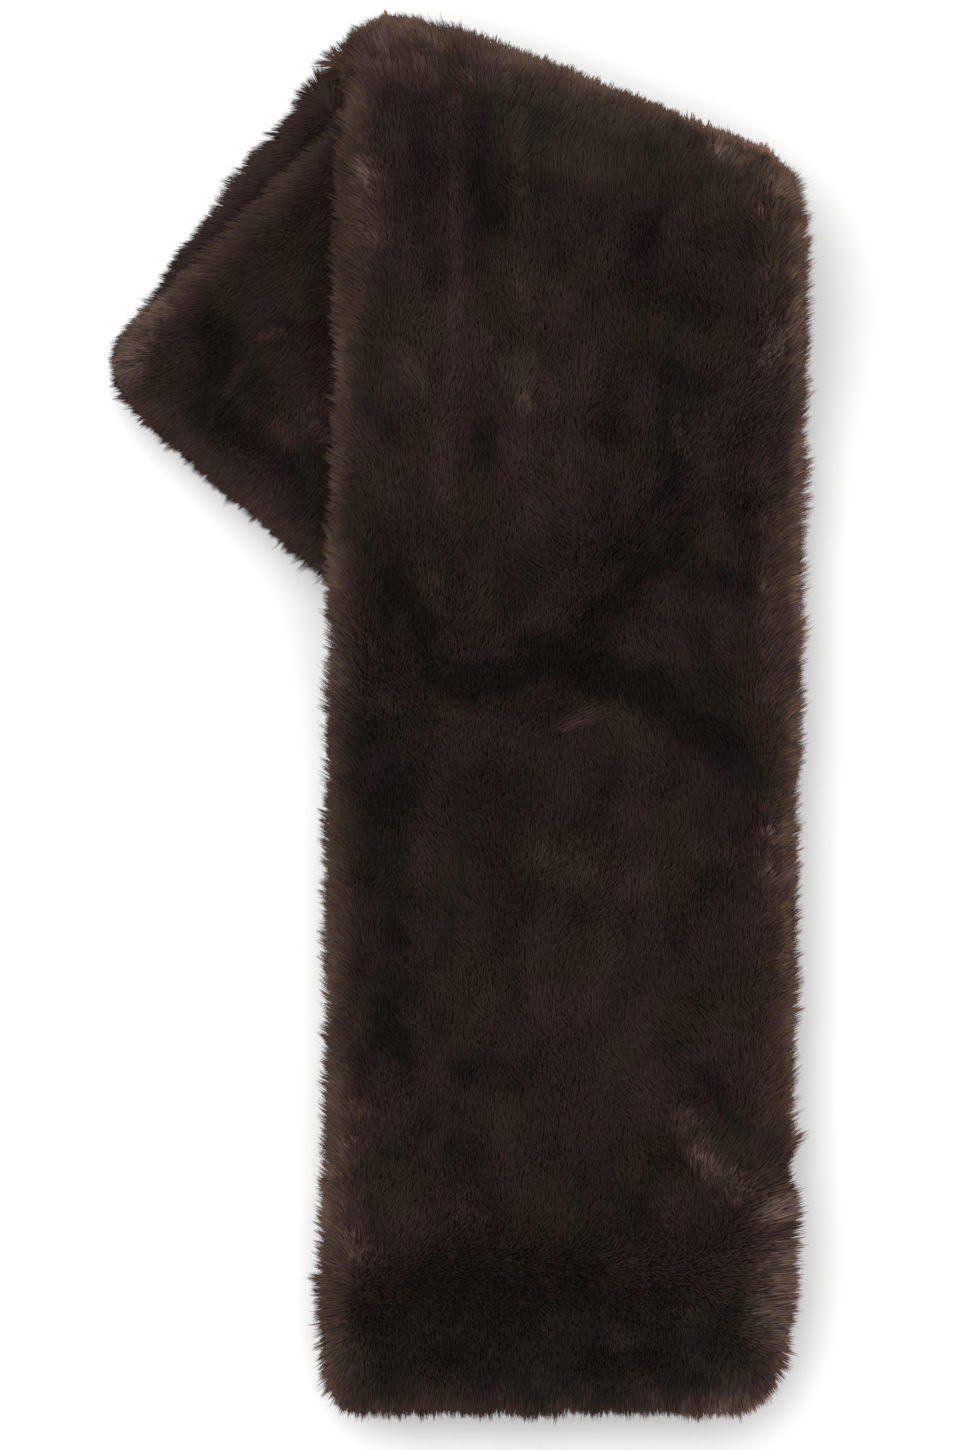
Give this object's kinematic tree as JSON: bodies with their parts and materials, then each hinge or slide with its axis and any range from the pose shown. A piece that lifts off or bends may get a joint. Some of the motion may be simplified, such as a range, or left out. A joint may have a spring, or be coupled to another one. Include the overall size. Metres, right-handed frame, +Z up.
{
  "type": "folded fur scarf",
  "caption": "Long-pile imitation fur scarf, folded double and laid flat, with its doubled top turned back beneath on a slant.",
  "frame": {"origin": "on the surface the scarf lies on, under the middle of its outline", "axes": "+Y along the long fall from the hem up to the slanted bend, +X to the right seen from above, +Z up"},
  "size_m": [0.233, 0.4682, 0.0622],
  "materials": {
    "brown_fur": "dark brown long-pile imitation fur, soft sheen, lighter warm-brown tips along the edges"
  },
  "bodies": {
    "root": {"front_stretch": "brown_fur", "under_stretch": "brown_fur", "back_upper_stretch": "brown_fur", "back_lower_stretch": "brown_fur"}
  },
  "joints": []
}
